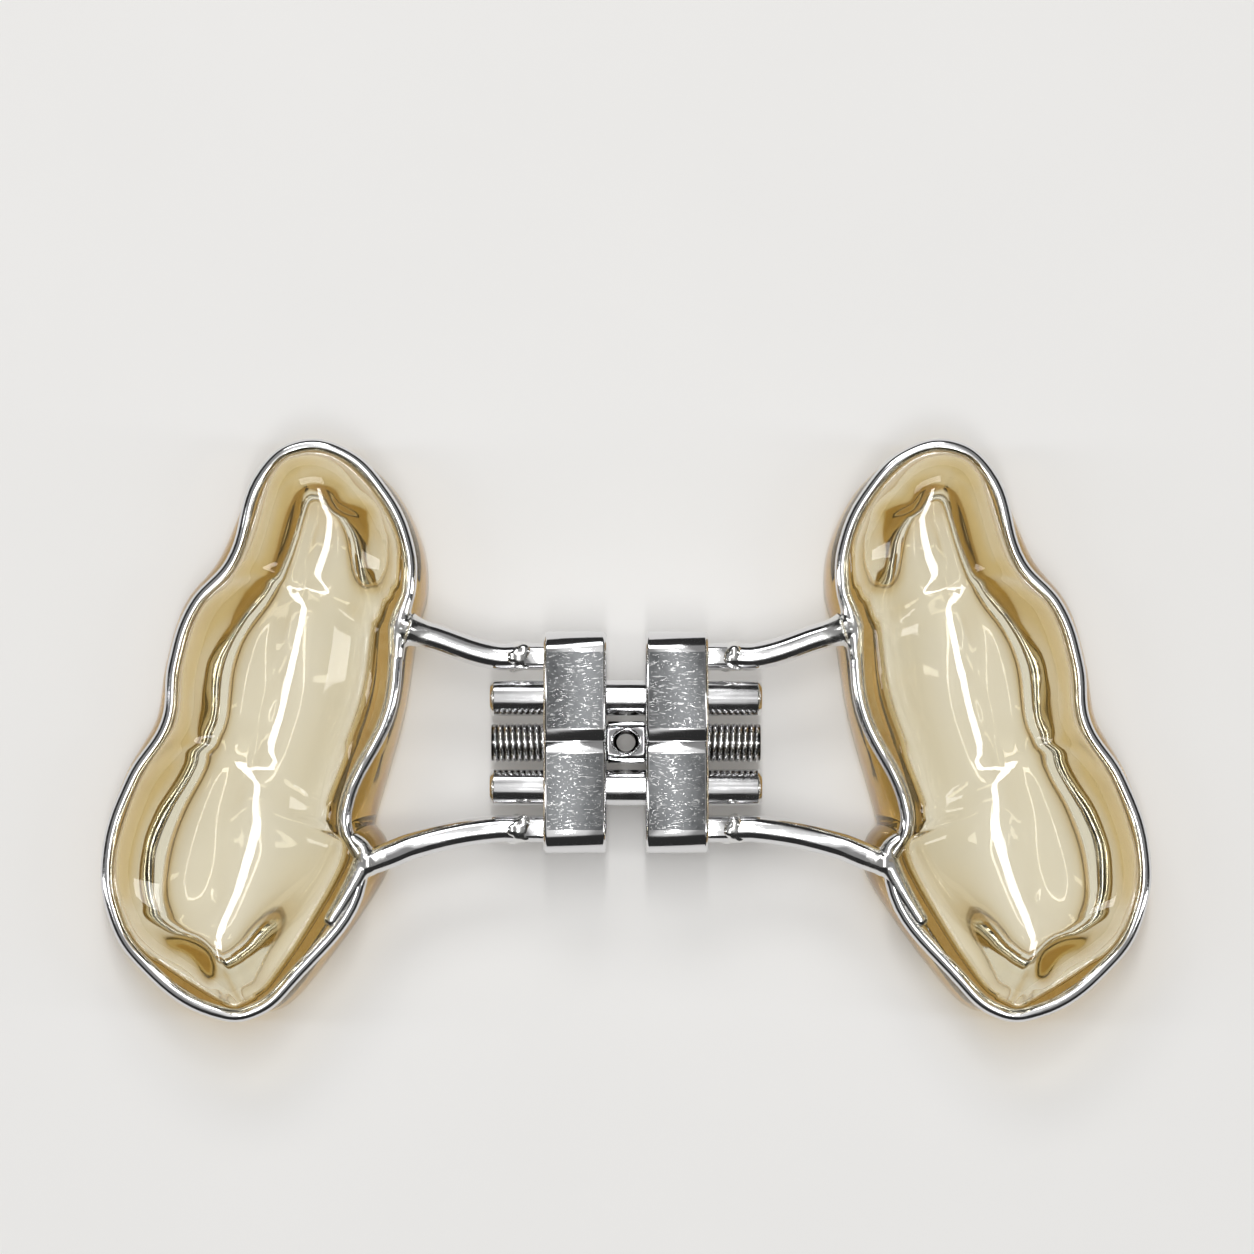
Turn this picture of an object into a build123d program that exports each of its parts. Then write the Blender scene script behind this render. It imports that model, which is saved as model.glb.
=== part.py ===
from build123d import *
from math import radians, tan
import os

# Bonded palatal expander, in millimetres.
# X runs across the mouth, Y towards the front teeth, Z away from the gums.
# The splints rest on Z = 0, and the screw lies along X.

# Expansion screw
SCREW_Y = -0.73
SCREW_Z = 4.0
BODY_LENGTH = 12.8
BODY_WIDTH = 3.64
BODY_HEIGHT = 4.4
BODY_BEVELS = ((0.55, 0.2), (0.4, 0.35), (0.3, 0.6))
VALLEY_WIDTH = 1.34
VALLEY_DEPTH = 0.35
BODY_EDGE_BREAK = 0.16
HUB_WIDTH = 2.06
HUB_FLATS = 2.4
HUB_DIAMETER = 2.8
HUB_END_PLAY = 0.1
KEY_HOLE_DIAMETER = 1.1
KEY_HOLE_MOUTH = 1.7
SPINDLE_DIAMETER = 2.34
SPINDLE_LENGTH = 15.6
SPINDLE_CHAMFER = 0.2
ROD_DIAMETER = 2.1
ROD_OVERHANG = 0.1
ROD_SPACING = 5.2
ROD_CHAMFER = 0.22
RUNNING_CLEARANCE = 0.03

# Stubs, arms and solder
ARM_DIAMETER = 1.56
STUB_SPACING = 10.0
STUB_DEPTH = 1.6
STUB_REACH = 1.45
STUB_FLAT_DEPTH = 0.13
ARM_LEAD = 1.3
REAR_ELBOW_X = 12.3
REAR_ELBOW_DROP = 0.95
FRONT_SOLDER_LENGTH = 2.3
REAR_SOLDER_LENGTH = 1.9
SOLDER_THICKNESS = 2.3
FRONT_SOLDER_FLARE = 2.15
REAR_SOLDER_FLARE = 3.6

# Wire frame of the right side. Each station is x, y and z on the wire, then how far
# the rim of the splint stands outside it. The first station is where the rear arm joins.
WIRE_DIAMETER = 0.88
WIRE_SEAT = 0.1
WIRE_END_GAP = 0.3
WIRE_STATIONS = (
    (15.3, -7.9, 4.5, 1.3),
    (16.2, -6.0, 4.6, 1.6),
    (16.25, -4.6, 4.7, 1.7),
    (13.75, 1.2, 4.5, 0.8),
    (13.2, 6.0, 4.4, 1.0),
    (12.6, 8.4, 4.5, 1.0),
    (12.8, 10.9, 4.6, 0.9),
    (14.2, 13.8, 4.7, 0.8),
    (16.5, 16.0, 4.7, 0.5),
    (19.0, 16.39, 4.7, 0.2),
    (21.0, 14.9, 4.6, 0.6),
    (22.9, 9.7, 4.1, 1.1),
    (25.1, 7.1, 4.0, 0.9),
    (26.2, 3.8, 4.0, 0.8),
    (26.6, 0.4, 4.0, 1.0),
    (28.6, -2.9, 4.0, 0.8),
    (29.95, -7.2, 4.1, 0.7),
    (29.6, -10.6, 4.3, 0.65),
    (28.0, -13.3, 4.5, 0.5),
    (23.2, -16.4, 4.8, 0.1),
    (21.4, -16.2, 4.8, 0.2),
    (19.5, -14.6, 4.8, 0.8),
)

# Splint: a flared skirt, a ledge for the wire, a shouldered cap and a barrelled top
SPLINT_HEIGHT = 8.5
SKIRT_SLOPE = (0.7, 2.4)
SHOULDER_SLOPE = (1.1, 2.7)
CORNER_SHARE = 0.45
CORNER_LIMIT = 4.0
BARREL_RADIUS = 11.0
RIDGE_POINT = (20.8, 0.5)
PAPILLA_RADIUS = 2.6
PAPILLA_RISE = 1.1

# Tooth sockets: centre, size across and along the arch, and how many fissures part the cusps
ARCH_TURN = 15.0
SOCKET_DEPTH = 6.5
SOCKET_CORNER = 3.2
CUSP_SLOPE = 1.9
FISSURE_WIDTH = 3.2
FISSURE_DEPTH = 1.4
TEETH = (
    ((17.6, 10.2), (7.2, 6.6), 1),
    ((20.2, 2.9), (9.6, 9.8), 2),
    ((23.1, -7.25), (9.4, 11.6), 2),
)

ROD_LENGTH = SPINDLE_LENGTH + 2 * ROD_OVERHANG
BODY_INNER = HUB_WIDTH / 2 + HUB_END_PLAY
BODY_OUTER = BODY_INNER + BODY_WIDTH
STUB_END = BODY_OUTER + STUB_REACH
STUB_ROWS = {"front": SCREW_Y + STUB_SPACING / 2, "rear": SCREW_Y - STUB_SPACING / 2}
WIRE_POINTS = [Vector(*station[:3]) for station in WIRE_STATIONS]
RIM_STANDOFFS = [station[3] for station in WIRE_STATIONS]
WALL_INSET = WIRE_DIAMETER / 2 + WIRE_SEAT
LEDGE_HEIGHT = min(point.Z for point in WIRE_POINTS) - WALL_INSET
ACROSS_ARCH = Vector(1, 0, 0).rotate(Axis.Z, ARCH_TURN)
ALONG_ARCH = Vector(0, 1, 0).rotate(Axis.Z, ARCH_TURN)


def along_wire(index):
    """Level direction of the wire at a station."""
    after = WIRE_POINTS[(index + 1) % len(WIRE_POINTS)]
    step = after - WIRE_POINTS[index - 1]
    return Vector(step.X, step.Y).normalized()


def wall_outline(standoffs):
    """Level outline of the resin wall, by how far it stands outside each station."""
    outline = []
    for index, standoff in enumerate(standoffs):
        direction = along_wire(index)
        outward = Vector(-direction.Y, direction.X)
        outline.append(Vector(*WIRE_STATIONS[index][:2]) + outward * standoff)
    return outline


def corner_radii(points):
    """The roundest corner that the runs on either side of each point leave room for."""
    radii = []
    for before, corner, after in zip(points[-1:] + points, points, points[1:] + points[:1]):
        room = min((corner - before).length, (after - corner).length) * CORNER_SHARE
        turn = radians((corner - before).get_angle(after - corner))
        radii.append(min(room / tan(turn / 2), CORNER_LIMIT))
    return radii


def mitred_run(start, end, start_cut, end_cut, diameter):
    """One straight run of a bar, trimmed to its neighbours at either end."""
    way = (end - start).normalized()
    with BuildPart() as run:
        with BuildSketch(Plane(origin=start - way * diameter, z_dir=way)):
            Circle(diameter / 2)
        extrude(amount=(end - start).length + 2 * diameter)
        split(bisect_by=Plane(origin=start, z_dir=start_cut), keep=Keep.TOP)
        split(bisect_by=Plane(origin=end, z_dir=end_cut), keep=Keep.BOTTOM)
    return run.part


def round_bar(points, diameter):
    """A round bar along straight runs with mitred corners."""
    ways = [(end - start).normalized() for start, end in zip(points, points[1:])]
    cuts = [ways[0], *(before + after for before, after in zip(ways, ways[1:])), ways[-1]]
    runs = zip(points, points[1:], cuts, cuts[1:])
    pieces = [mitred_run(*run, diameter) for run in runs]
    with BuildPart() as bar:
        add(pieces)
    return bar.part


def across_bar(row, diameter, start, length):
    """A round bar along X, level with the screw, in a row across it."""
    with BuildPart() as bar:
        with BuildSketch(Plane.YZ.offset(start)):
            with Locations((row, SCREW_Z)):
                Circle(diameter / 2)
        extrude(amount=length)
    return bar.part


def crown(centre, size, fissures):
    """The room for one tooth: two rows of cusps, parted along and, on a molar, across."""
    across, along = size
    with BuildPart() as tooth:
        with BuildSketch(Plane(origin=(*centre, 0), x_dir=-ACROSS_ARCH, z_dir=ALONG_ARCH)):
            with BuildLine():
                Polyline(
                    (0, 0),
                    (across / 2, 0),
                    (across / 2, SOCKET_DEPTH - CUSP_SLOPE),
                    (across / 2 - CUSP_SLOPE, SOCKET_DEPTH),
                    (FISSURE_WIDTH / 2, SOCKET_DEPTH),
                    (0, SOCKET_DEPTH - FISSURE_DEPTH),
                    close=True,
                )
            make_face()
            mirror(about=Plane.YZ)
        extrude(amount=along / 2, both=True)
        with BuildSketch(Plane(origin=(*centre, 0), x_dir=ACROSS_ARCH)):
            RectangleRounded(across, along, SOCKET_CORNER)
        extrude(amount=SOCKET_DEPTH, mode=Mode.INTERSECT)
        if fissures > 1:
            with BuildSketch(Plane(origin=(*centre, SOCKET_DEPTH), x_dir=ALONG_ARCH, z_dir=ACROSS_ARCH)):
                with BuildLine():
                    Polyline(
                        (-FISSURE_WIDTH / 2, 0),
                        (FISSURE_WIDTH / 2, 0),
                        (0, -FISSURE_DEPTH),
                        close=True,
                    )
                make_face()
            extrude(amount=across, both=True, mode=Mode.SUBTRACT)
    return tooth.part


def bevelled_wall(standoffs, height, slope):
    """A solid wall from the table up, rounded in plan, that leans in at its top."""
    outline = wall_outline(standoffs)
    with BuildPart() as wall:
        with BuildSketch():
            with BuildLine():
                FilletPolyline(*outline, radius=corner_radii(outline), close=True)
            make_face()
        extrude(amount=height)
        top = wall.faces().sort_by(Axis.Z)[-1]
        chamfer(top.edges(), *slope, reference=top)
    return wall.part


os.makedirs("parts", exist_ok=True)

# Guide rods, plain and chamfered, across the middle of the screw
for name, side in (("front", 1), ("rear", -1)):
    plain_rod = across_bar(SCREW_Y + side * ROD_SPACING / 2, ROD_DIAMETER, -ROD_LENGTH / 2, ROD_LENGTH)
    with BuildPart() as rod:
        add(plain_rod)
        chamfer(rod.edges().filter_by(GeomType.CIRCLE), ROD_CHAMFER)
    rod.part.label = f"{name}_guide_rod"
    export_step(rod.part, f"parts/{name}_guide_rod.step")

# Spindle: one turned bar with a flatted hub and four key holes that meet inside it
plain_spindle = across_bar(SCREW_Y, SPINDLE_DIAMETER, -SPINDLE_LENGTH / 2, SPINDLE_LENGTH)
with BuildPart() as spindle:
    add(plain_spindle)
    chamfer(spindle.edges().filter_by(GeomType.CIRCLE), SPINDLE_CHAMFER)
    with BuildSketch(Plane.YZ.offset(-HUB_WIDTH / 2)):
        with Locations((SCREW_Y, SCREW_Z)):
            Rectangle(HUB_FLATS, HUB_FLATS)
            Circle(HUB_DIAMETER / 2, mode=Mode.INTERSECT)
    extrude(amount=HUB_WIDTH)
    for way in ((0, 0, 1), (0, 0, -1), (0, 1, 0), (0, -1, 0)):
        mouth = Vector(0, SCREW_Y, SCREW_Z) + Vector(*way) * HUB_FLATS / 2
        with Locations(Plane(origin=mouth, x_dir=(1, 0, 0), z_dir=way)):
            CounterSinkHole(KEY_HOLE_DIAMETER / 2, KEY_HOLE_MOUTH / 2, depth=HUB_FLATS / 2)
spindle.part.label = "spindle"
export_step(spindle.part, "parts/spindle.step")

right_side = {}

# Block: a bevelled bar with a valley over the spindle, bored for what runs in it
with BuildPart() as body:
    with BuildSketch(Plane.YZ.offset(BODY_INNER)):
        with BuildLine():
            corner = Vector(SCREW_Y + BODY_LENGTH / 2, SCREW_Z + BODY_HEIGHT / 2)
            pad_end = corner - Vector(sum(run for run, drop in BODY_BEVELS), 0)
            top = [pad_end]
            for run, drop in BODY_BEVELS:
                top.append(top[-1] + Vector(run, -drop))
            valley_edge = Vector(SCREW_Y + VALLEY_WIDTH / 2, corner.Y)
            valley_floor = Vector(SCREW_Y, corner.Y - VALLEY_DEPTH)
            bottom = [Vector(point.X, 2 * SCREW_Z - point.Y) for point in reversed(top)]
            underside = Vector(SCREW_Y, SCREW_Z - BODY_HEIGHT / 2)
            Polyline(valley_floor, valley_edge, *top, *bottom, underside, valley_floor)
        make_face()
        mirror(about=Plane.YZ.offset(SCREW_Y))
    extrude(amount=BODY_WIDTH)
    ends = body.faces().filter_by(Axis.X)
    chamfer(ends.edges(), BODY_EDGE_BREAK)
    with BuildSketch(Plane.YZ.offset(BODY_OUTER)):
        with Locations((SCREW_Y, SCREW_Z)):
            Circle(SPINDLE_DIAMETER / 2 + RUNNING_CLEARANCE)
            with GridLocations(ROD_SPACING, 0, 2, 1):
                Circle(ROD_DIAMETER / 2 + RUNNING_CLEARANCE)
    extrude(amount=-BODY_WIDTH, mode=Mode.SUBTRACT)
    with BuildSketch(Plane.YZ.offset(BODY_OUTER)):
        with Locations((SCREW_Y, SCREW_Z)):
            with GridLocations(STUB_SPACING, 0, 2, 1):
                Circle(ARM_DIAMETER / 2)
    extrude(amount=-STUB_DEPTH, mode=Mode.SUBTRACT)
right_side["body"] = body.part

# Wire frame: one bent wire whose ends meet under the rear solder
first_run = (WIRE_POINTS[1] - WIRE_POINTS[0]).normalized()
last_run = (WIRE_POINTS[-1] - WIRE_POINTS[0]).normalized()
wire_start = WIRE_POINTS[0] + first_run * WIRE_END_GAP
wire_end = WIRE_POINTS[0] + last_run * WIRE_END_GAP
wire_frame = round_bar([wire_start, *WIRE_POINTS[1:], wire_end], WIRE_DIAMETER)
right_side["wire_frame"] = wire_frame

# Stubs, arms and the flares of solder that join each arm to the nearest bend of the wire
rear_elbow = Vector(REAR_ELBOW_X, STUB_ROWS["rear"] - REAR_ELBOW_DROP, SCREW_Z)
joins = {
    "front": ([], FRONT_SOLDER_FLARE, FRONT_SOLDER_LENGTH),
    "rear": ([rear_elbow], REAR_SOLDER_FLARE, REAR_SOLDER_LENGTH),
}
for name, (elbows, flare, solder_length) in joins.items():
    row = STUB_ROWS[name]
    plain_stub = across_bar(row, ARM_DIAMETER, BODY_OUTER - STUB_DEPTH, STUB_DEPTH + STUB_REACH)
    with BuildPart() as stub:
        add(plain_stub)
        with BuildSketch(Plane.YZ.offset(BODY_OUTER)):
            with Locations((row, SCREW_Z + ARM_DIAMETER - STUB_FLAT_DEPTH)):
                Rectangle(ARM_DIAMETER, ARM_DIAMETER)
        extrude(amount=STUB_REACH, mode=Mode.SUBTRACT)
    right_side[f"{name}_stub"] = stub.part

    stub_face = Vector(STUB_END, row, SCREW_Z)
    join = min(WIRE_POINTS, key=lambda point: (point - stub_face).length)
    corners = [stub_face, stub_face + Vector(ARM_LEAD, 0, 0), *elbows]
    final_way = (join - corners[-1]).normalized()
    arm_end = join - final_way * solder_length
    right_side[f"{name}_arm"] = round_bar([*corners, arm_end], ARM_DIAMETER)

    with BuildPart() as solder:
        with Locations(Plane(origin=arm_end, z_dir=final_way)):
            Cone(ARM_DIAMETER / 2, flare / 2, solder_length, align=(Align.CENTER, Align.CENTER, Align.MIN))
        with Locations(join):
            Box(flare * 2, flare * 2, SOLDER_THICKNESS, mode=Mode.INTERSECT)
        add(wire_frame, mode=Mode.SUBTRACT)
    right_side[f"{name}_solder"] = solder.part

# Splint: a shouldered cap on a flared skirt, moulded over three teeth and round the metal
crowns = [crown(*tooth) for tooth in TEETH]
skirt = bevelled_wall(RIM_STANDOFFS, LEDGE_HEIGHT, SKIRT_SLOPE)
cap = bevelled_wall([-WALL_INSET] * len(WIRE_STATIONS), SPLINT_HEIGHT, SHOULDER_SLOPE)
barrel_centre = (*RIDGE_POINT, SPLINT_HEIGHT - BARREL_RADIUS)
splint_span = skirt.bounding_box().diagonal
with BuildPart() as splint:
    add(cap)
    with BuildSketch(Plane(origin=barrel_centre, z_dir=ALONG_ARCH)):
        Circle(BARREL_RADIUS)
    extrude(amount=splint_span, both=True, mode=Mode.INTERSECT)
    add(skirt)
    add(crowns, mode=Mode.SUBTRACT)
    for (before, *_), (after, *_) in zip(TEETH, TEETH[1:]):
        contact = (Vector(*before) + Vector(*after)) / 2
        notch = Vector(contact.X, contact.Y, PAPILLA_RISE - PAPILLA_RADIUS)
        with BuildSketch(Plane(origin=notch, z_dir=ACROSS_ARCH)):
            Circle(PAPILLA_RADIUS)
        extrude(amount=splint_span, both=True, mode=Mode.SUBTRACT)
    for name in joins:
        add(right_side[f"{name}_solder"], mode=Mode.SUBTRACT)
right_side["splint"] = splint.part

# The left side is the right side mirrored about the mid plane of the mouth
for name, piece in right_side.items():
    with BuildPart() as left_piece:
        mirror(piece, about=Plane.YZ)
    piece.label = f"right_{name}"
    export_step(piece, f"parts/right_{name}.step")
    left_piece.part.label = f"left_{name}"
    export_step(left_piece.part, f"parts/left_{name}.step")
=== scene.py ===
from math import cos, exp, pi, radians, sin, tan

import bmesh
import bpy
from mathutils import Matrix, Vector


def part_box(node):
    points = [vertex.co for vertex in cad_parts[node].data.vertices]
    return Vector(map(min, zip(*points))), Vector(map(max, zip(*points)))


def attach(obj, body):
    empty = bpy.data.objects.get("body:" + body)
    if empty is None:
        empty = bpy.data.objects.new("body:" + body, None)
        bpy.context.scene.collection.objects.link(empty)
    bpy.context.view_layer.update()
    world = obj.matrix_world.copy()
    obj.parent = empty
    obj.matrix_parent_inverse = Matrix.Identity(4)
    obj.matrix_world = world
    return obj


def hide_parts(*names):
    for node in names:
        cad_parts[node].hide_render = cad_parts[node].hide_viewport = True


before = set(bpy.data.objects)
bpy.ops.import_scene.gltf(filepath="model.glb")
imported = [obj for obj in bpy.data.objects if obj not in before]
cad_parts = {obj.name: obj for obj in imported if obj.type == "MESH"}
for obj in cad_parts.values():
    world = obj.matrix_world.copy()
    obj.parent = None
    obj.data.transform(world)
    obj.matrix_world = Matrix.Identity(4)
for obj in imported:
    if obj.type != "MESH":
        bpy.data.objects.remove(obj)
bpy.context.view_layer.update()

MM = 0.001
SIDES = {"left": -1, "right": 1}

# Where the expansion screw lies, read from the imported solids
spindle_low, spindle_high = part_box("spindle")
SCREW_Y = (spindle_low.y + spindle_high.y) / 2
SCREW_Z = (spindle_low.z + spindle_high.z) / 2
SPINDLE_END = spindle_high.x
block_low, block_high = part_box("right_body")
BLOCK_TOP = block_high.z
stub_low, stub_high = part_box("right_front_stub")
STUB_END = stub_high.x
ARM_RADIUS = (stub_high.y - stub_low.y) / 2
STUB_ROWS = {"front": (stub_low.y + stub_high.y) / 2}
rear_low, rear_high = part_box("right_rear_stub")
STUB_ROWS["rear"] = (rear_low.y + rear_high.y) / 2

# Spindle thread and hub
THREAD_PITCH = 0.35 * MM
THREAD_CREST = 1.17 * MM
THREAD_DEPTH = 0.14 * MM
THREAD_RUN_OUT = 0.3 * MM
THREAD_OVERLAP = 0.1 * MM
HUB_HALF_WIDTH = 1.03 * MM

# Wire frame of the right side, in millimetres: x, y and z on the wire, how far the rim of
# the splint stands outside it, and how wide a flat ledge lies inside it
WIRE_RADIUS = 0.44 * MM
WIRE_STATIONS = (
    (15.3, -7.9, 4.5, 1.3, 0.9),
    (16.2, -6.0, 4.6, 1.6, 0.8),
    (16.25, -4.6, 4.7, 1.7, 0.9),
    (13.75, 1.2, 4.5, 0.8, 1.5),
    (13.2, 6.0, 4.4, 1.0, 1.2),
    (12.6, 8.4, 4.5, 1.0, 0.6),
    (12.8, 10.9, 4.6, 0.9, 0.4),
    (14.2, 13.8, 4.7, 0.8, 0.3),
    (16.5, 16.0, 4.7, 0.5, 0.3),
    (19.0, 16.39, 4.7, 0.2, 0.3),
    (21.0, 14.9, 4.6, 0.6, 0.3),
    (22.9, 9.7, 4.1, 1.1, 0.3),
    (25.1, 7.1, 4.0, 0.9, 0.3),
    (26.2, 3.8, 4.0, 0.8, 0.3),
    (26.6, 0.4, 4.0, 1.0, 0.3),
    (28.6, -2.9, 4.0, 0.8, 0.3),
    (29.95, -7.2, 4.1, 0.7, 0.3),
    (29.6, -10.6, 4.3, 0.65, 0.4),
    (28.0, -13.3, 4.5, 0.5, 0.5),
    (23.2, -16.4, 4.8, 0.1, 0.6),
    (21.4, -16.2, 4.8, 0.2, 0.6),
    (19.5, -14.6, 4.8, 0.8, 0.8),
)
LEAST_STANDOFF = 0.15
LEAST_LEDGE = 0.2
REAR_JOIN = 0
FRONT_JOIN = 4

# Arms and solder of the right side, in millimetres
ARM_LEAD = 1.3
REAR_ELBOW = (12.3, -6.68, 4.0)
SOLDER = {
    "front": {"length": 2.3, "forward": 1.8, "back": 1.8, "flare": 1.07},
    "rear": {"length": 1.9, "forward": 1.6, "back": 3.6, "flare": 0.72},
}

# Top of the right splint, in millimetres, from the ridge out to the wire
SPLINT_TOP = 8.45
RIDGE = ((17.6, 12.2), (23.9, -11.4))
RIDGE_STEPS = 48
STEPS_PER_STATION = 14
SHOULDER_POWER = 2.6
SHOULDER_LIFT = 0.5
LEDGE_RISE = 0.05
WALL_INSET = 0.1
CREASES = (
    ((24.9, 7.2), (22.9, 8.8), (20.4, 8.8), (17.8, 7.7), (15.1, 5.8)),
    ((27.7, -2.4), (25.9, -1.0), (23.5, -1.25), (21.2, -2.2), (18.5, -3.5), (17.6, -4.3)),
)
CREASE_DEPTH = 0.17
CREASE_WIDTH = 0.42
CUSPS = (
    (19.8, 10.9), (16.2, 10.4),
    (22.6, 5.3), (18.6, 5.3), (22.9, 1.3), (18.9, 0.9),
    (25.4, -3.8), (21.1, -4.4), (26.2, -7.9), (21.2, -8.6), (23.3, -12.0),
)
CUSP_WIDTH = 2.0
CUSP_SHOW = 0.03
TOP_SHARES = (0.06, 0.12, 0.19, 0.27, 0.35, 0.43, 0.51, 0.59, 0.66, 0.73, 0.79, 0.84, 0.88, 0.915,
              0.94, 0.96, 0.975, 0.985, 0.993, 1.0)

# Its skirt, which turns from level to upright, and its rounded rim
SKIRT_TURNS = (0, 7, 14, 22, 31, 41, 51, 61, 71, 81, 90)
SKIRT_POWER = 0.8
SKIRT_DROP = 0.1
RIM_ROUND = 0.25
RIM_BREAK = 0.07

# Its sockets: insets and heights up the wall, then a roof with cusps and low places between teeth
SOCKET_WALL = 1.4
SOCKET_PROFILE = (
    (-0.2, 0.0), (0.0, 0.2), (0.05, 1.0), (0.14, 1.8),
    (0.3, 2.6), (0.54, 3.4), (0.86, 4.1), (1.25, 4.7),
)
SOCKET_PINCH = 0.3
SOCKET_EASING = 6
INNER_CORNER = (16.2, -5.2)
CORNER_RELIEF = 0.9
CORNER_WIDTH = 1.9
SEPTUM_WIDTH = 1.7
SEPTUM_REACH = 1.2
SEPTUM_DROP = 0.4
CUSP_RISE = 0.8
ROOF_HEIGHT = 6.1
ROOF_THICKNESS = 0.8
ROOF_SOFTNESS = 0.5
ROOF_STEEPNESS = 1.7
ROOF_SHARES = (0.93, 0.86, 0.79, 0.72, 0.64, 0.56, 0.48, 0.4, 0.32, 0.24, 0.16, 0.08)

# Solder and welds, mostly as shares of the radius of an arm or a wire
FLARE_STEPS = 12
FLARE_LENGTH = 0.75
FLARE_START = 0.99
FLARE_POWER = 3
FLARE_OVERLAP = 1.02
DROP_PLACE = 0.8
RUN_STEPS = 4
RUN_BODY = 0.8
RUN_SKIN = 1.05
RUN_POWER = 1.3
WELD_LUMPS = 7
WELD_SPREAD = 0.6
WELD_WAVE = 0.4 * MM
LUMP_RADIUS = 0.58
LUMP_CHANGE = 0.08
WELD_CORE = 1.08
FUSE_GRAIN = 0.06 * MM

# Camera
VIEW_ELEVATION = radians(86)
VIEW_DISTANCE = 330 * MM
VIEW_WIDTH = 72.9 * MM
VIEW_TARGET = Vector((0.06, 6.0, 4.0)) * MM


def node_maker(tree):
    """Adds a node, sets its properties and fills its inputs, by value or by link."""
    def make(kind, inputs=(), **properties):
        node = tree.nodes.new(kind)
        for name, value in properties.items():
            setattr(node, name, value)
        for key, value in dict(inputs).items():
            if isinstance(value, bpy.types.NodeSocket):
                tree.links.new(value, node.inputs[key])
            else:
                node.inputs[key].default_value = value
        return node
    return make


def math_maker(make):
    """Adds a math node and gives its result."""
    def math(operation, *values):
        return make("ShaderNodeMath", dict(enumerate(values)), operation=operation).outputs[0]
    return math


def mixed_colour(make, share, first, second):
    """A colour that goes from one to another by a share."""
    mix = make("ShaderNodeMix", {"Factor": share, "A": first, "B": second}, data_type="RGBA")
    return mix.outputs["Result"]


def placed(name, data):
    """A new object in the scene."""
    thing = bpy.data.objects.new(name, data)
    bpy.context.collection.objects.link(thing)
    return thing


def mesh_from(form, name):
    """A finished mesh of a form, which is then freed."""
    mesh = bpy.data.meshes.new(name)
    form.to_mesh(mesh)
    form.free()
    return mesh


def settled_mesh(carrier):
    """The plain mesh that a carrier's modifiers make of it. The carrier is then removed."""
    bpy.context.view_layer.update()
    shaped = carrier.evaluated_get(bpy.context.evaluated_depsgraph_get())
    mesh = bpy.data.meshes.new_from_object(shaped)
    carrier.modifiers.clear()
    bpy.data.objects.remove(carrier)
    return mesh


# Geometry Nodes trees

def new_tree(name, inputs):
    """A geometry tree with a geometry input and output, and named inputs beside them."""
    tree = bpy.data.node_groups.new(name, "GeometryNodeTree")
    tree.interface.new_socket("Geometry", in_out="INPUT", socket_type="NodeSocketGeometry")
    tree.interface.new_socket("Geometry", in_out="OUTPUT", socket_type="NodeSocketGeometry")
    for label, kind in inputs:
        tree.interface.new_socket(label, in_out="INPUT", socket_type=kind)
    return tree


def finish_tree(tree, make, geometry, material):
    """Ends a tree with real geometry in its material."""
    solid = make("GeometryNodeRealizeInstances", {"Geometry": geometry})
    smooth = make("GeometryNodeSetShadeSmooth", {"Geometry": solid.outputs[0]})
    painted = make("GeometryNodeSetMaterial", {"Geometry": smooth.outputs[0], "Material": material})
    make("NodeGroupOutput", {"Geometry": painted.outputs[0]})
    return tree


def tube_tree():
    """A round wire along a curve."""
    tree = new_tree("wire_along_path", (
        ("Wire Radius", "NodeSocketFloat"),
        ("Sides", "NodeSocketInt"),
        ("Material", "NodeSocketMaterial"),
    ))
    make = node_maker(tree)
    given = make("NodeGroupInput").outputs
    section = make("GeometryNodeCurvePrimitiveCircle", {
        "Resolution": given["Sides"], "Radius": given["Wire Radius"]})
    tube = make("GeometryNodeCurveToMesh", {
        "Curve": given["Geometry"], "Profile Curve": section.outputs["Curve"], "Fill Caps": True})
    return finish_tree(tree, make, tube.outputs["Mesh"], given["Material"])


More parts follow.
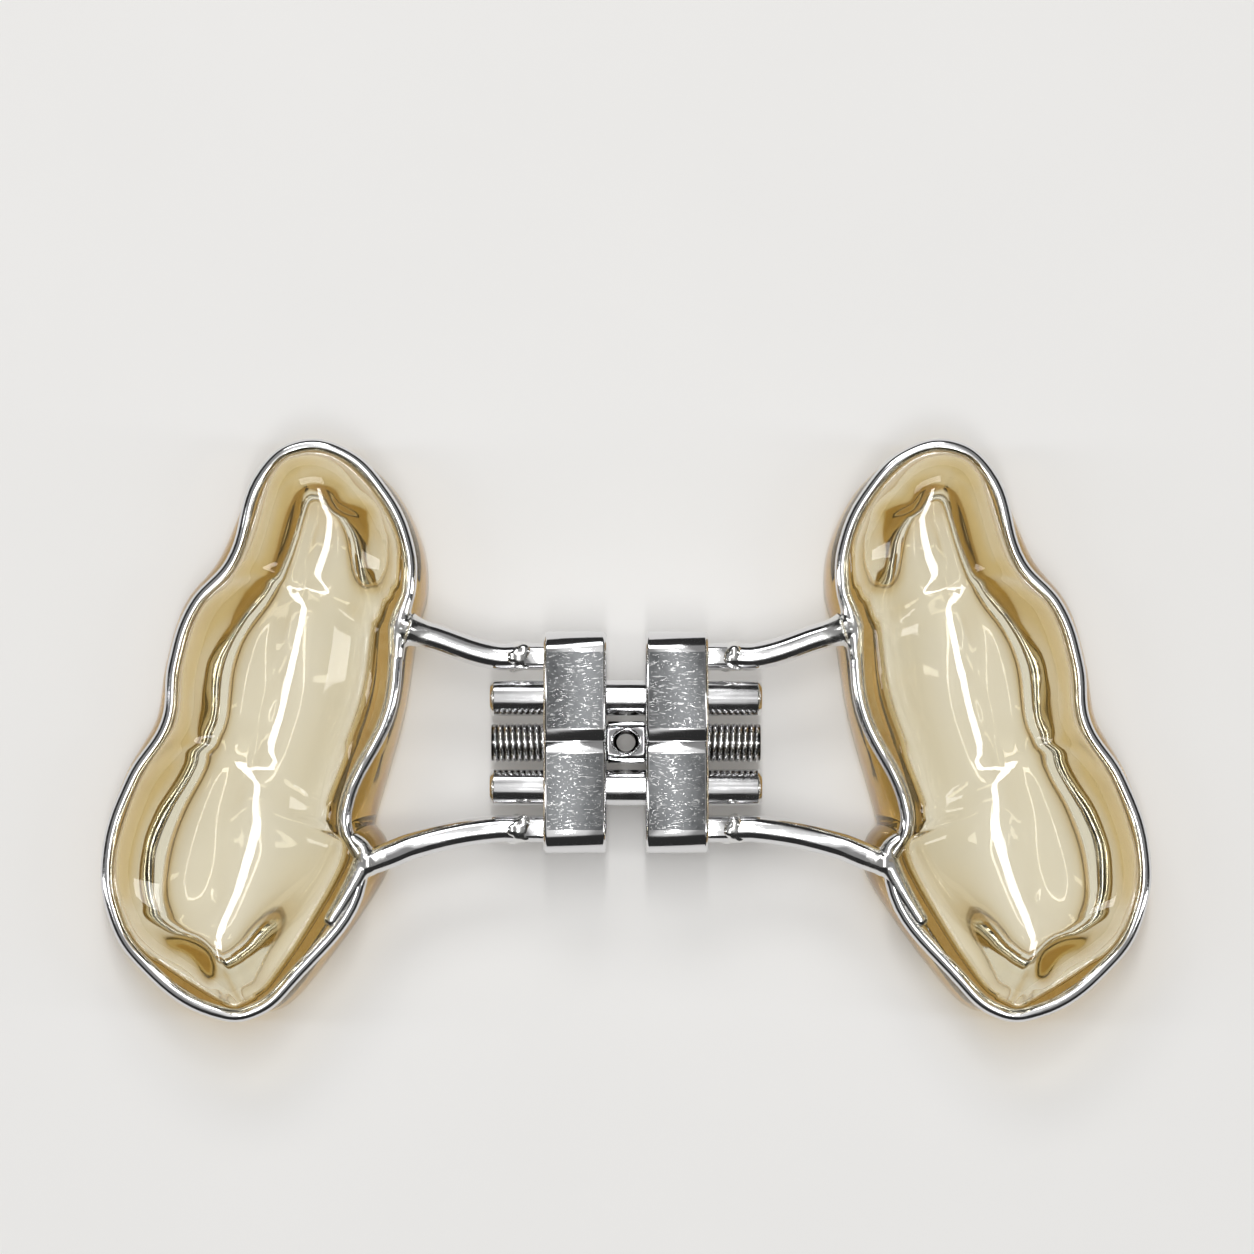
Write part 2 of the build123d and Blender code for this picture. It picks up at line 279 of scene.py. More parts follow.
def thread_tree():
    """A threaded sleeve along X, its crest wound left or right about the axis."""
    tree = new_tree("wound_thread", (
        ("Length", "NodeSocketFloat"),
        ("Pitch", "NodeSocketFloat"),
        ("Crest Radius", "NodeSocketFloat"),
        ("Depth", "NodeSocketFloat"),
        ("Run Out", "NodeSocketFloat"),
        ("Hand", "NodeSocketFloat"),
        ("Rings", "NodeSocketInt"),
        ("Sides", "NodeSocketInt"),
        ("Material", "NodeSocketMaterial"),
    ))
    make = node_maker(tree)
    given = make("NodeGroupInput").outputs
    math = math_maker(make)
    grid = make("GeometryNodeMeshGrid", {
        "Size X": given["Length"], "Size Y": 1.0,
        "Vertices X": given["Rings"], "Vertices Y": given["Sides"]})
    place = make("ShaderNodeSeparateXYZ", {"Vector": make("GeometryNodeInputPosition").outputs[0]})
    along, round_share = place.outputs["X"], place.outputs["Y"]
    turns = math("ADD", math("DIVIDE", along, given["Pitch"]), math("MULTIPLY", round_share, given["Hand"]))
    flank = math("MULTIPLY", math("PINGPONG", turns, 0.5), 2.0)
    rounded = math("SMOOTH_MIN", math("SMOOTH_MAX", flank, 0.12, 0.1), 0.82, 0.2)
    left = math("SUBTRACT", math("MULTIPLY", given["Length"], 0.5), math("ABSOLUTE", along))
    fade = math("SUBTRACT", 1.0, math("MINIMUM", math("DIVIDE", left, given["Run Out"]), 1.0))
    hollow = math("MULTIPLY", given["Depth"], math("MAXIMUM", math("SUBTRACT", 1.0, rounded), fade))
    radius = math("SUBTRACT", given["Crest Radius"], hollow)
    angle = math("MULTIPLY", round_share, 2 * pi)
    bent = make("ShaderNodeCombineXYZ", {
        "X": along,
        "Y": math("MULTIPLY", radius, math("COSINE", angle)),
        "Z": math("MULTIPLY", radius, math("SINE", angle))})
    wound = make("GeometryNodeSetPosition", {"Geometry": grid.outputs["Mesh"], "Position": bent.outputs[0]})
    closed = make("GeometryNodeMergeByDistance", {"Geometry": wound.outputs[0], "Distance": 0.001 * MM})
    return finish_tree(tree, make, closed.outputs[0], given["Material"])


def grown_mesh(carrier, tree, values):
    """The plain mesh that a tree makes of a carrier object, which is then removed."""
    modifier = carrier.modifiers.new(tree.name, "NODES")
    modifier.node_group = tree
    for item in tree.interface.items_tree:
        if item.in_out == "INPUT" and item.name in values:
            modifier[item.identifier] = values[item.name]
    return settled_mesh(carrier)


# Materials

def new_material(name):
    """A node material, its node maker, its surface shader and its output."""
    material = bpy.data.materials.new(name)
    material.use_nodes = True
    material.node_tree.nodes.clear()
    make = node_maker(material.node_tree)
    shader = make("ShaderNodeBsdfPrincipled")
    output = make("ShaderNodeOutputMaterial", {"Surface": shader.outputs[0]})
    return material, make, shader, output


def bright_steel(name, colour, polish, haze, ripple):
    """Polished steel with a faint haze, hairline marks and an uneven hand-worked surface."""
    material, make, shader, _ = new_material(name)
    link = material.node_tree.links.new
    where = make("ShaderNodeTexCoord").outputs["Object"]
    cloud = make("ShaderNodeTexNoise", {"Vector": where, "Scale": 900.0, "Detail": 4.0})
    stretched = make("ShaderNodeMapping", {"Vector": where, "Scale": (700.0, 9000.0, 4000.0)})
    hairline = make("ShaderNodeTexNoise", {"Vector": stretched.outputs[0], "Scale": 1.0, "Detail": 3.0})
    marks = math_maker(make)("MULTIPLY", cloud.outputs["Fac"], hairline.outputs["Fac"])
    rough = make("ShaderNodeMapRange", {
        "Value": marks, "From Min": 0.15, "From Max": 0.4, "To Min": polish, "To Max": polish + haze})
    dull = [0.93 * channel for channel in colour]
    tone = mixed_colour(make, cloud.outputs["Fac"], (*dull, 1), (*colour, 1))
    wave = make("ShaderNodeTexNoise", {"Vector": where, "Scale": 1600.0, "Detail": 2.0})
    bump = make("ShaderNodeBump", {"Height": wave.outputs["Fac"], "Strength": ripple, "Distance": 0.05 * MM})
    link(tone, shader.inputs["Base Color"])
    link(rough.outputs[0], shader.inputs["Roughness"])
    link(bump.outputs[0], shader.inputs["Normal"])
    shader.inputs["Metallic"].default_value = 1.0
    return material


def threaded_steel(name):
    """Turned steel with painted shade, near black, in the roots of its thread."""
    material = bright_steel(name, (0.80, 0.80, 0.81), 0.1, 0.14, 0.05)
    make = node_maker(material.node_tree)
    shader = next(node for node in material.node_tree.nodes if node.type == "BSDF_PRINCIPLED")
    bright = shader.inputs["Base Color"].links[0].from_socket
    where = make("ShaderNodeTexCoord").outputs["Object"]
    from_axis = make("ShaderNodeVectorMath", {0: where, 1: (0.0, SCREW_Y, SCREW_Z)}, operation="SUBTRACT")
    across = make("ShaderNodeVectorMath", {0: from_axis.outputs[0], 1: (0.0, 1.0, 1.0)}, operation="MULTIPLY")
    radius = make("ShaderNodeVectorMath", {0: across.outputs[0]}, operation="LENGTH").outputs["Value"]
    # Painted shade: the colour goes near black towards the roots of the thread, by distance from the axis.
    unshaded_share = make("ShaderNodeMapRange", {
        "Value": radius,
        "From Min": THREAD_CREST - 0.8 * THREAD_DEPTH, "From Max": THREAD_CREST - 0.25 * THREAD_DEPTH})
    tone = mixed_colour(make, unshaded_share.outputs[0], (0.06, 0.055, 0.05, 1), bright)
    material.node_tree.links.new(tone, shader.inputs["Base Color"])
    return material


def worn_and_shaded_block_steel(name):
    """Bright steel whose flat top pads are satin, mottled and scratched, with painted shade: a dark grey
    colour in place of the steel's own.
    """
    material, make, shader, _ = new_material(name)
    link = material.node_tree.links.new
    where = make("ShaderNodeTexCoord").outputs["Object"]
    math = math_maker(make)
    facing = make("ShaderNodeSeparateXYZ", {"Vector": make("ShaderNodeNewGeometry").outputs["True Normal"]})
    height = make("ShaderNodeSeparateXYZ", {"Vector": where}).outputs["Z"]
    flat = math("GREATER_THAN", facing.outputs["Z"], 0.995)
    high = math("GREATER_THAN", height, BLOCK_TOP - 0.03 * MM)
    pad = math("MULTIPLY", flat, high)
    mottle = make("ShaderNodeTexNoise", {"Vector": where, "Scale": 1400.0, "Detail": 6.0, "Roughness": 0.7})
    bent = make("ShaderNodeTexNoise", {"Vector": where, "Scale": 500.0, "Detail": 2.0})
    drift = make("ShaderNodeVectorMath", {
        0: bent.outputs["Color"], 1: (1.2 * MM, 1.2 * MM, 0.0)}, operation="MULTIPLY")
    warped = make("ShaderNodeVectorMath", {0: where, 1: drift.outputs[0]}, operation="ADD").outputs[0]
    marks = []
    directions = ((0.5, 1900.0, 0.7), (1.3, 1500.0, 0.71), (-0.6, 2200.0, 0.7), (-1.2, 1100.0, 0.72))
    for turn, reach, limit in directions:
        turned = make("ShaderNodeMapping", {
            "Vector": warped, "Rotation": (0, 0, turn), "Scale": (reach, 16000.0, 1000.0)})
        line = make("ShaderNodeTexNoise", {"Vector": turned.outputs[0], "Scale": 1.0, "Detail": 1.0})
        marks.append(math("GREATER_THAN", line.outputs["Fac"], limit))
    speck = make("ShaderNodeTexNoise", {"Vector": where, "Scale": 7000.0, "Detail": 2.0})
    marks.append(math("GREATER_THAN", speck.outputs["Fac"], 0.66))
    scratches = marks[0]
    for mark in marks[1:]:
        scratches = math("MAXIMUM", scratches, mark)
    satin = make("ShaderNodeMapRange", {
        "Value": mottle.outputs["Fac"], "From Min": 0.3, "From Max": 0.7, "To Min": 0.3, "To Max": 0.46})
    scraped = math("SUBTRACT", satin.outputs[0], math("MULTIPLY", scratches, 0.1))
    rough = make("ShaderNodeMix", {"Factor": pad, "A": 0.1, "B": scraped})
    # Painted shade: the flat top pads take a dark grey colour, mottled at random, in place of the steel's own
    # colour.
    grey = mixed_colour(make, mottle.outputs["Fac"], (0.03, 0.033, 0.036, 1), (0.21, 0.214, 0.218, 1))
    shaded_and_scratched = mixed_colour(make, math("MULTIPLY", scratches, 0.5), grey, (0.8, 0.8, 0.79, 1))
    colour = mixed_colour(make, pad, (0.8, 0.8, 0.81, 1), shaded_and_scratched)
    grain = math("ADD", mottle.outputs["Fac"], math("MULTIPLY", scratches, 0.4))
    depth = math("MULTIPLY", grain, math("ADD", math("MULTIPLY", pad, 0.9), 0.1))
    bump = make("ShaderNodeBump", {"Height": depth, "Strength": 0.2, "Distance": 0.02 * MM})
    link(colour, shader.inputs["Base Color"])
    link(rough.outputs[0], shader.inputs["Roughness"])
    link(bump.outputs[0], shader.inputs["Normal"])
    shader.inputs["Metallic"].default_value = 1.0
    return material


def amber_resin(name):
    """Clear resin whose amber tint deepens with thickness, faintly rippled. Low on its skirt the tint is a
    deeper amber, partly for thick resin and partly as painted shade, and the light it passes to the table
    there is darkened as painted shadow.
    """
    material, make, shader, output = new_material(name)
    link = material.node_tree.links.new
    where = make("ShaderNodeTexCoord").outputs["Object"]
    ripple = make("ShaderNodeTexNoise", {"Vector": where, "Scale": 260.0, "Detail": 2.0})
    cloud = make("ShaderNodeTexNoise", {"Vector": where, "Scale": 700.0, "Detail": 5.0})
    rough = make("ShaderNodeMapRange", {
        "Value": cloud.outputs["Fac"], "From Min": 0.35, "From Max": 0.7, "To Min": 0.02, "To Max": 0.07})
    bump = make("ShaderNodeBump", {"Height": ripple.outputs["Fac"], "Strength": 0.08, "Distance": 0.3 * MM})
    tint = mixed_colour(make, cloud.outputs["Fac"], (0.985, 0.97, 0.92, 1), (1.0, 0.99, 0.965, 1))
    height = make("ShaderNodeSeparateXYZ", {"Vector": where}).outputs["Z"]
    # Low on the skirt the colour turns a deeper amber: partly the look of thick resin, partly painted shade.
    low = make("ShaderNodeMapRange", {"Value": height, "From Min": 4.3 * MM, "From Max": 2.6 * MM})
    skirt_amber_and_shade = mixed_colour(make, low.outputs[0], tint, (0.7, 0.49, 0.19, 1))
    link(skirt_amber_and_shade, shader.inputs["Base Color"])
    link(rough.outputs[0], shader.inputs["Roughness"])
    link(bump.outputs[0], shader.inputs["Normal"])
    shader.inputs["Transmission Weight"].default_value = 1.0
    shader.inputs["IOR"].default_value = 1.49
    depth = make("ShaderNodeVolumeAbsorption", {"Color": (0.8, 0.72, 0.34, 1), "Density": 100.0})
    # Painted shadow: the light that shadow and diffuse rays carry through the resin is darkened low on the
    # skirt.
    shade = mixed_colour(make, low.outputs[0], (0.985, 0.975, 0.945, 1), (0.8, 0.66, 0.42, 1))
    clear = make("ShaderNodeBsdfTransparent", {"Color": shade})
    path = make("ShaderNodeLightPath").outputs
    passing = math_maker(make)("MAXIMUM", path["Is Shadow Ray"], path["Is Diffuse Ray"])
    mixed = make("ShaderNodeMixShader", {0: passing, 1: shader.outputs[0], 2: clear.outputs[0]})
    link(mixed.outputs[0], output.inputs["Surface"])
    link(depth.outputs[0], output.inputs["Volume"])
    return material


def pale_table(name):
    """A plain pale surface with a trace of grain."""
    material, make, shader, _ = new_material(name)
    where = make("ShaderNodeTexCoord").outputs["Object"]
    grain = make("ShaderNodeTexNoise", {"Vector": where, "Scale": 60.0, "Detail": 6.0})
    tone = mixed_colour(make, grain.outputs["Fac"], (0.86, 0.85, 0.835, 1), (0.89, 0.88, 0.865, 1))
    material.node_tree.links.new(tone, shader.inputs["Base Color"])
    shader.inputs["Roughness"].default_value = 0.7
    return material


WIRE_STEEL = bright_steel("polished_wire", (0.82, 0.82, 0.83), 0.06, 0.12, 0.08)
SCREW_STEEL = bright_steel("turned_screw_steel", (0.80, 0.80, 0.81), 0.09, 0.14, 0.05)
THREAD_STEEL = threaded_steel("threaded_steel")
SOLDER_STEEL = bright_steel("flowed_solder", (0.84, 0.84, 0.83), 0.1, 0.18, 0.3)
BLOCK_STEEL = worn_and_shaded_block_steel("scratched_and_shaded_block_steel")
RESIN = amber_resin("amber_clear_resin")
TABLE_TOP = pale_table("pale_table_top")


# Shapes

def add_piece(name, mesh, material, body, replaced=()):
    """Sets a finished mesh in the scene as a piece of a body."""
    mesh.materials.clear()
    mesh.materials.append(material)
    piece = placed(name, mesh)
    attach(piece, body)
    if replaced:
        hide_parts(*replaced)
    return piece


def merged_copy(node):
    """A copy of a solid's mesh with its loose triangles joined."""
    form = bmesh.new()
    form.from_mesh(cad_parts[node].data)
    bmesh.ops.remove_doubles(form, verts=form.verts, dist=0.0005 * MM)
    return form


def eased_copy(node, edge, material, body):
    """A solid in its own form, with its flat faces whole and its edges broken by a small radius."""
    form = merged_copy(node)
    bmesh.ops.dissolve_limit(form, angle_limit=radians(1), verts=form.verts, edges=form.edges)
    carrier = placed(node, mesh_from(form, node))
    bevel = carrier.modifiers.new("broken_edges", "BEVEL")
    bevel.width = edge
    bevel.segments = 3
    bevel.limit_method = "ANGLE"
    bevel.angle_limit = radians(25)
    bevel.harden_normals = True
    eased = settled_mesh(carrier)
    eased.shade_smooth()
    eased.set_sharp_from_angle(angle=radians(35))
    return add_piece(f"{node}_dressed", eased, material, body, [node])


def path_curve(points, closed):
    """A smooth curve through points."""
    curve = bpy.data.curves.new("path", "CURVE")
    curve.dimensions = "3D"
    curve.resolution_u = 10
    spline = curve.splines.new("BEZIER")
    spline.bezier_points.add(len(points) - 1)
    spline.use_cyclic_u = closed
    for knot, point in zip(spline.bezier_points, points):
        knot.co = point
        knot.handle_left_type = knot.handle_right_type = "AUTO"
    return placed("path", curve)


def mirrored(points, side):
    """Points of the right side in metres, on a side of the mouth."""
    return [Vector((side * x, y, z)) * MM for x, y, z in points]


def crossed(a, b, c, d, share):
    """One value of a smooth curve through four, between the middle two."""
    return 0.5 * (2 * b + (c - a) * share + (2 * a - 5 * b + 4 * c - d) * share ** 2
                  + (3 * b - a - 3 * c + d) * share ** 3)


def smooth_stations():
    """The stations joined by a smooth closed curve: place, level, stand-off, ledge and way out."""
    count = len(WIRE_STATIONS)
    rows = []
    for index in range(count):
        four = [WIRE_STATIONS[(index + step) % count] for step in (-1, 0, 1, 2)]
        for step in range(STEPS_PER_STATION):
            rows.append([crossed(*column, step / STEPS_PER_STATION) for column in zip(*four)])
    outline = []
    for index, (x, y, z, standoff, ledge) in enumerate(rows):
        before, after = rows[index - 1], rows[(index + 1) % len(rows)]
        way = Vector((after[0] - before[0], after[1] - before[1])).normalized()
        standoff, ledge = max(standoff, LEAST_STANDOFF), max(ledge, LEAST_LEDGE)
        outline.append((Vector((x, y)), z, standoff, ledge, Vector((-way.y, way.x))))
    return outline


def on_ridge(point, steps=0):
    """The nearest place on the line along the top of the splint, or on one of its even steps."""
    start, end = (Vector(place) for place in RIDGE)
    share = min(max((point - start).dot(end - start) / (end - start).length_squared, 0), 1)
    if steps:
        share = round(share * steps) / steps
    return start + (end - start) * share


def line_nearness(point, width):
    """How near a place is to a line between two teeth, from 0 to 1."""
    nearest = 1e9
    for line in CREASES:
        for start, end in zip(line, line[1:]):
            start, end = Vector(start), Vector(end)
            share = (point - start).dot(end - start) / (end - start).length_squared
            nearest = min(nearest, (point - start - (end - start) * min(max(share, 0), 1)).length)
    return exp(-(nearest / width) ** 2)


def cusp_nearness(point):
    """How near a place is to the tip of a cusp, from 0 to 1."""
    return max(exp(-((point - Vector(tip)).length / CUSP_WIDTH) ** 2) for tip in CUSPS)


def top_height(point, share, reach, shoulder, ledge):
    """Height of the outer surface, by how far out a place lies from the ridge."""
    crown_share = share * reach / (reach - ledge)
    if crown_share < 1:
        rise = LEDGE_RISE + (1 - LEDGE_RISE) * (1 - crown_share ** SHOULDER_POWER) ** 0.5
    else:
        rise = LEDGE_RISE * (1 - share) * reach / ledge
    worn = CREASE_DEPTH * line_nearness(point, CREASE_WIDTH) + CUSP_SHOW * (1 - cusp_nearness(point))
    return shoulder + (SPLINT_TOP - shoulder) * rise - worn * min(1, 2 * rise)


def softened(excess):
    """What is taken off a height that comes near its limit, without a kink."""
    return (excess + (excess ** 2 + ROOF_SOFTNESS ** 2) ** 0.5) / 2


def eased_ring(ring):
    """A ring whose places have moved to the middle of their neighbours."""
    steps = range(-SOCKET_EASING, SOCKET_EASING + 1)
    near = [[ring[(index + step) % len(ring)] for step in steps] for index in range(len(ring))]
    return [tuple(sum(column) / len(steps) for column in zip(*places)) for places in near]


def splint_rings():
    """Rings of points from the middle of the top, down the outside and up into the sockets."""
    outline = smooth_stations()
    strands = []
    for place, level, standoff, ledge, out in outline:
        middle, snapped = on_ridge(place), on_ridge(place, RIDGE_STEPS)
        inward = (middle - place).normalized()
        edge = place + inward * WALL_INSET
        reach = (edge - middle).length
        shoulder = level + SHOULDER_LIFT

        def top(spot, share):
            return top_height(spot, share, reach, shoulder, ledge)

        strand = [(*snapped, top(snapped, 0))]
        for share in TOP_SHARES:
            spot = middle.lerp(edge, share)
            strand.append((*spot, top(spot, share)))
        for turn in SKIRT_TURNS:
            spot = place + out * standoff * sin(radians(turn)) ** SKIRT_POWER
            strand.append((*spot, RIM_ROUND + (level - SKIRT_DROP - RIM_ROUND) * cos(radians(turn))))
        for inset, height in ((RIM_BREAK, RIM_BREAK), (RIM_ROUND, 0.0)):
            strand.append((*(place + out * (standoff - inset)), height))
        pinch = SOCKET_PINCH * line_nearness(place + inward * SEPTUM_REACH, SEPTUM_WIDTH)
        pinch -= CORNER_RELIEF * exp(-((place - Vector(INNER_CORNER)).length / CORNER_WIDTH) ** 2)
        for inset, height in SOCKET_PROFILE:
            strand.append((*(place + inward * (SOCKET_WALL + inset + pinch)), height))
        wall_top = Vector(strand[-1][:2])
        wall_height = SOCKET_PROFILE[-1][1]
        for share in ROOF_SHARES + (0.0,):
            spot = middle.lerp(wall_top, share) if share else snapped
            part = (spot - middle).length / reach
            roof = ROOF_HEIGHT + CUSP_RISE * cusp_nearness(spot)
            roof -= SEPTUM_DROP * line_nearness(spot, SEPTUM_WIDTH)
            roof -= softened(roof - top(spot, part) + ROOF_THICKNESS)
            blend = 1 - max(0, 1 - ROOF_STEEPNESS * (1 - share)) ** 2
            strand.append((*spot, wall_height + (roof - wall_height) * blend))
        strands.append(strand)
    rings = list(zip(*strands))
    walls = len(rings) - len(SOCKET_PROFILE) - len(ROOF_SHARES)
    return rings[:walls] + [eased_ring(ring) for ring in rings[walls:-1]] + rings[-1:]


def splint_mesh(side, rings):
    """A closed shell from the rings, whose first and last ring close up on the ridge."""
    form = bmesh.new()
    loops = [[form.verts.new(point) for point in mirrored(ring, side)] for ring in rings]
    for upper, lower in zip(loops, loops[1:]):
        for index in range(len(upper)):
            form.faces.new((upper[index - 1], upper[index], lower[index], lower[index - 1]))
    bmesh.ops.remove_doubles(form, verts=loops[0] + loops[-1], dist=0.001 * MM)
    bmesh.ops.recalc_face_normals(form, faces=form.faces)
    mesh = mesh_from(form, "splint")
    mesh.shade_smooth()
    return mesh


def add_drop(form, centre, radius):
    """A round drop of metal."""
    bmesh.ops.create_icosphere(form, subdivisions=3, radius=radius, matrix=Matrix.Translation(centre))


def fused_mesh(name, form):
    """Overlapping shapes run together into one smooth lump."""
    carrier = placed(name, mesh_from(form, name))
    fuse = carrier.modifiers.new("run_together", "REMESH")
    fuse.mode = "VOXEL"
    fuse.voxel_size = FUSE_GRAIN
    flow = carrier.modifiers.new("flow", "SMOOTH")
    flow.factor = 0.6
    flow.iterations = 12
    fused = settled_mesh(carrier)
    fused.shade_smooth()
    return fused


def solder_mesh(start, join, wire, shape):
    """A flare of solder that has run from an arm's end along the wire to both sides."""
    form = bmesh.new()
    turn = (join - start).to_track_quat("Z", "Y").to_matrix().to_4x4()
    slice_share = FLARE_LENGTH / FLARE_STEPS
    slice_depth = (join - start).length * slice_share

    def spread(share):
        return ARM_RADIUS * FLARE_START + (shape["flare"] * MM - ARM_RADIUS) * share ** FLARE_POWER

    for step in range(FLARE_STEPS):
        centre = start.lerp(join, (step + 0.5) * slice_share)
        bmesh.ops.create_cone(
            form, cap_ends=True, segments=48, depth=slice_depth * FLARE_OVERLAP,
            radius1=spread(step / FLARE_STEPS), radius2=spread((step + 1) / FLARE_STEPS),
            matrix=Matrix.Translation(centre) @ turn)
    add_drop(form, start.lerp(join, DROP_PLACE), ARM_RADIUS)
    body = ARM_RADIUS * RUN_BODY - WIRE_RADIUS
    for before, after in zip(wire[-1:] + wire, wire):
        for step in range(RUN_STEPS):
            place = before.lerp(after, step / RUN_STEPS)
            run = shape["forward"] if (place - join).dot(after - before) > 0 else shape["back"]
            gap = (place - join).length / (run * MM)
            if gap < 1:
                add_drop(form, place, WIRE_RADIUS * RUN_SKIN + body * (1 - gap) ** RUN_POWER)
    return fused_mesh("solder", form)


def weld_mesh(centre, side):
    """A lumpy collar of weld where an arm meets its stub."""
    form = bmesh.new()
    spread = ARM_RADIUS * WELD_SPREAD
    for step in range(WELD_LUMPS):
        angle = 2 * pi * step / WELD_LUMPS + side
        place = centre + Vector((WELD_WAVE * sin(3 * angle), spread * cos(angle), spread * sin(angle)))
        add_drop(form, place, ARM_RADIUS * (LUMP_RADIUS + LUMP_CHANGE * sin(2 * angle)))
    add_drop(form, centre, ARM_RADIUS * WELD_CORE)
    return fused_mesh("weld", form)


# Screw: the guide rods, and the spindle wound with its two threads

for rod in ("front_guide_rod", "rear_guide_rod"):
    eased_copy(rod, 0.05 * MM, SCREW_STEEL, "guide_rods")

hub = merged_copy("spindle")
shaft = [vert for vert in hub.verts if abs(vert.co.x) > HUB_HALF_WIDTH + 0.01 * MM]
bmesh.ops.delete(hub, geom=shaft, context="VERTS")
hub_mesh = mesh_from(hub, "hub")
hub_mesh.shade_smooth()
hub_mesh.set_sharp_from_angle(angle=radians(30))

thread_length = SPINDLE_END - HUB_HALF_WIDTH + THREAD_OVERLAP
wound_thread = thread_tree()
spindle = bmesh.new()
spindle.from_mesh(hub_mesh)
for side in SIDES.values():
    blank = placed("thread", bpy.data.meshes.new("thread"))
    sleeve = grown_mesh(blank, wound_thread, {
        "Length": thread_length, "Pitch": THREAD_PITCH, "Crest Radius": THREAD_CREST,
        "Depth": THREAD_DEPTH, "Run Out": THREAD_RUN_OUT, "Hand": float(side),
        "Rings": 300, "Sides": 65, "Material": THREAD_STEEL})
    middle = side * (HUB_HALF_WIDTH - THREAD_OVERLAP + thread_length / 2)
    sleeve.transform(Matrix.Translation((middle, SCREW_Y, SCREW_Z)))
    ends = len(spindle.edges)
    spindle.from_mesh(sleeve)
    spindle.edges.ensure_lookup_table()
    open_ends = [edge for edge in spindle.edges[ends:] if edge.is_boundary]
    bmesh.ops.holes_fill(spindle, edges=open_ends)
spindle_mesh = mesh_from(spindle, "spindle")
add_piece("threaded_spindle", spindle_mesh, THREAD_STEEL, "spindle", ["spindle"])

# Both halves
wire_along_path = tube_tree()
rings = splint_rings()
stations = [Vector(row[:3]) for row in WIRE_STATIONS]
wire_line = [(*place, level) for place, level, *_ in smooth_stations()]
for name, side in SIDES.items():
    half = f"{name}_half"
    eased_copy(f"{name}_body", 0.06 * MM, BLOCK_STEEL, half)
    wire = grown_mesh(path_curve(mirrored(stations, side), closed=True), wire_along_path, {
        "Wire Radius": WIRE_RADIUS, "Sides": 24, "Material": WIRE_STEEL})
    add_piece(f"{name}_wire", wire, WIRE_STEEL, half, [f"{name}_wire_frame"])

    routes = {
        "front": [stations[FRONT_JOIN]],
        "rear": [Vector(REAR_ELBOW), stations[REAR_JOIN]],
    }
    for place, route in routes.items():
        stub_face = Vector((STUB_END, STUB_ROWS[place], SCREW_Z)) / MM
        corners = [stub_face, stub_face + Vector((ARM_LEAD, 0, 0)), *route]
        way = (corners[-1] - corners[-2]).normalized()
        arm_end = corners[-1] - way * SOLDER[place]["length"]
        bends = mirrored([*corners[:-1], arm_end, arm_end + way * 0.5], side)
        arm = grown_mesh(path_curve(bends, closed=False), wire_along_path, {
            "Wire Radius": ARM_RADIUS, "Sides": 40, "Material": WIRE_STEEL})
        add_piece(f"{name}_{place}_bent_arm", arm, WIRE_STEEL, half, [f"{name}_{place}_arm"])
        start, join = mirrored([arm_end, corners[-1]], side)
        flow = solder_mesh(start, join, mirrored(wire_line, side), SOLDER[place])
        soldered = [f"{name}_{place}_solder"]
        add_piece(f"{name}_{place}_solder_flow", flow, SOLDER_STEEL, half, soldered)
        eased_copy(f"{name}_{place}_stub", 0.04 * MM, WIRE_STEEL, half)
        weld = weld_mesh(mirrored([stub_face], side)[0], side)
        add_piece(f"{name}_{place}_weld", weld, SOLDER_STEEL, half)

    splint = splint_mesh(side, rings)
    add_piece(f"{name}_resin_splint", splint, RESIN, half, [f"{name}_splint"])

# Table, lamps and camera
floor = bmesh.new()
bmesh.ops.create_grid(floor, x_segments=1, y_segments=1, size=3.0)
floor_mesh = mesh_from(floor, "table_top")
floor_mesh.materials.append(TABLE_TOP)
table_top = placed("table_top", floor_mesh)


def add_lamp(name, place, size, power):
    """A soft rectangular lamp that faces the middle of the table."""
    lamp = bpy.data.lights.new(name, "AREA")
    lamp.shape = "RECTANGLE"
    lamp.size, lamp.size_y = size
    lamp.energy = power
    holder = placed(name, lamp)
    holder.location = place
    holder.rotation_mode = "QUATERNION"
    holder.rotation_quaternion = (VIEW_TARGET - holder.location).to_track_quat("-Z", "Y")


add_lamp("overhead_strip", (0.0, 0.04, 0.6), (0.045, 0.7), 1.8)
add_lamp("front_softbox", (-0.1, 0.5, 0.42), (0.4, 0.16), 0.8)
add_lamp("left_strip", (-0.5, 0.0, 0.3), (0.06, 0.4), 0.45)
add_lamp("right_strip", (0.5, -0.05, 0.3), (0.06, 0.4), 0.4)

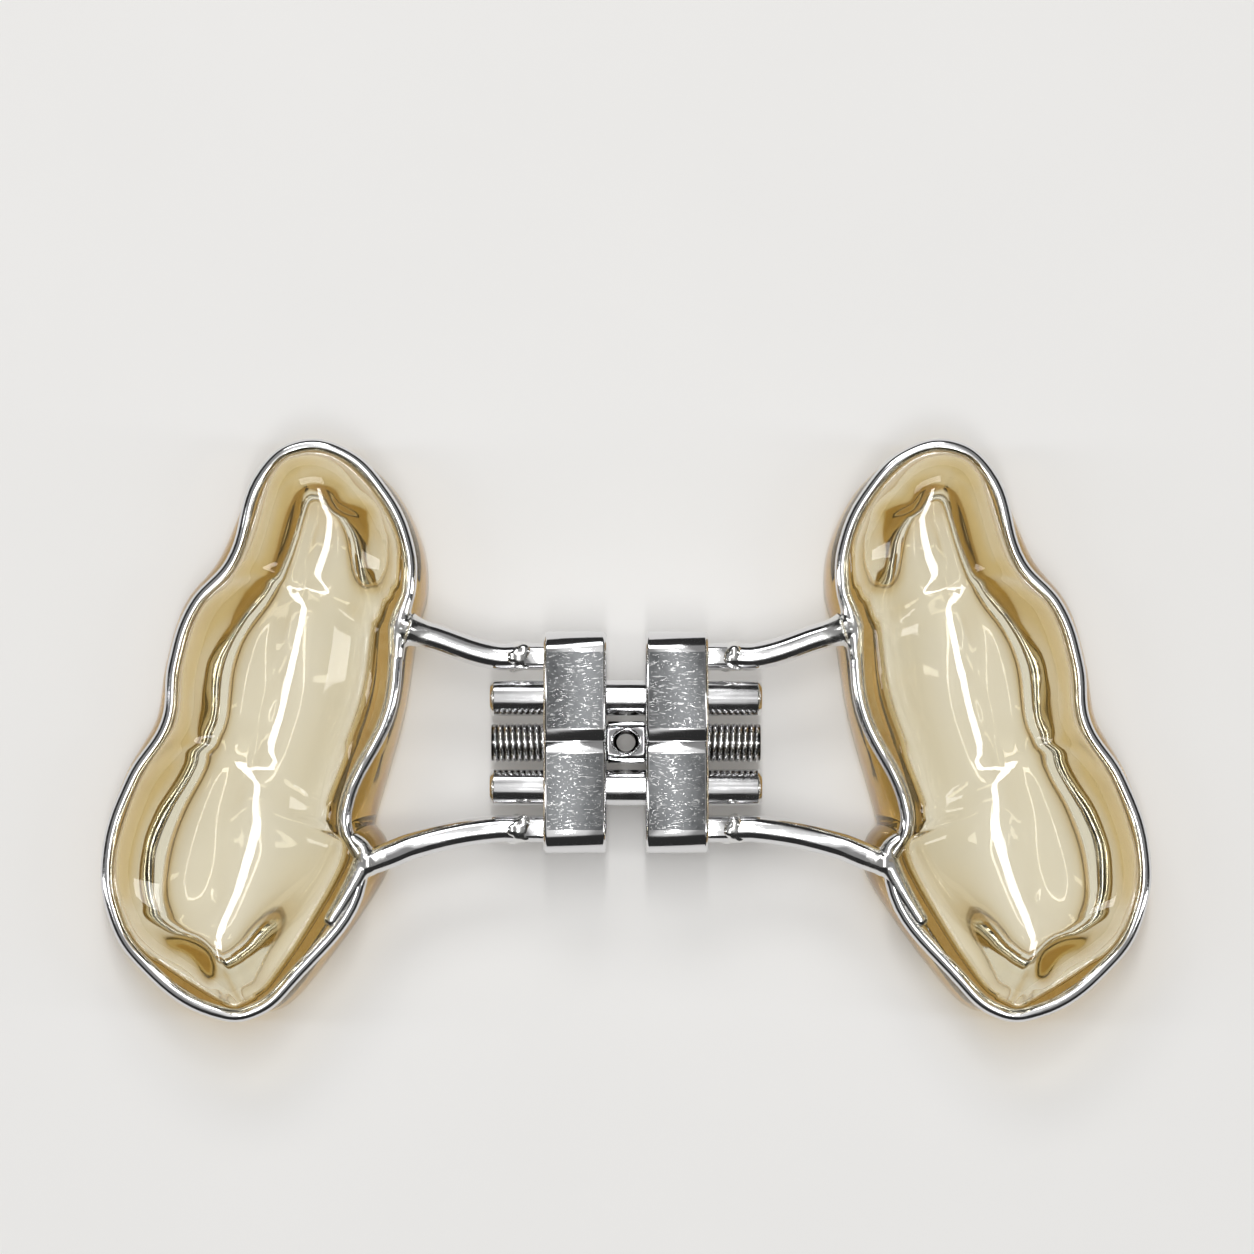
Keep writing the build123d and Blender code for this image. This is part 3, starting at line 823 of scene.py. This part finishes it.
world = bpy.data.worlds.new("studio")
world.use_nodes = True
bpy.context.scene.world = world
sky = node_maker(world.node_tree)
world.node_tree.nodes.clear()
sky_math = math_maker(sky)

# A white strip along a grey ceiling, above dark walls
gaze = sky("ShaderNodeSeparateXYZ", {"Vector": sky("ShaderNodeTexCoord").outputs["Generated"]})
upward = sky_math("MAXIMUM", gaze.outputs["Z"], 0.001)
forward = sky_math("DIVIDE", gaze.outputs["Y"], upward)
aside = sky_math("ABSOLUTE", sky_math("DIVIDE", gaze.outputs["X"], upward))


def ceiling_edge(value, limit, soft):
    """1 inside a limit and 0 outside it, with a soft edge."""
    return sky("ShaderNodeMapRange", {
        "Value": value, "From Min": limit, "From Max": limit - soft, "To Min": 0.0, "To Max": 1.0}).outputs[0]


front_edge = ceiling_edge(forward, tan(radians(56)), 0.2)
rear_edge = ceiling_edge(forward, -tan(radians(40)), -0.15)
side_edge = sky_math("MULTIPLY", ceiling_edge(aside, tan(radians(52)), 0.3), 0.25)
strip_edge = sky_math("MULTIPLY", ceiling_edge(aside, tan(radians(17)), 0.1), 0.5)
length_edges = sky_math("MULTIPLY", front_edge, rear_edge)
ceiling = sky_math("MULTIPLY", length_edges, sky_math("ADD", side_edge, strip_edge))
brightness = sky_math("ADD", ceiling, 0.03)
glow = sky("ShaderNodeBackground", {"Color": (1.0, 0.995, 0.985, 1), "Strength": brightness})
sky("ShaderNodeOutputWorld", {"Surface": glow.outputs[0]})

camera = bpy.data.cameras.new("view")
camera.sensor_width = 36.0
camera.lens = camera.sensor_width * VIEW_DISTANCE / VIEW_WIDTH
camera.clip_start, camera.clip_end = 0.01, 10.0
viewer = placed("view", camera)
back = Vector((0, -cos(VIEW_ELEVATION), sin(VIEW_ELEVATION)))
viewer.location = VIEW_TARGET + back * VIEW_DISTANCE
viewer.rotation_mode = "QUATERNION"
viewer.rotation_quaternion = (-back).to_track_quat("-Z", "Y")
bpy.context.scene.camera = viewer
bpy.context.scene.view_settings.view_transform = "Standard"
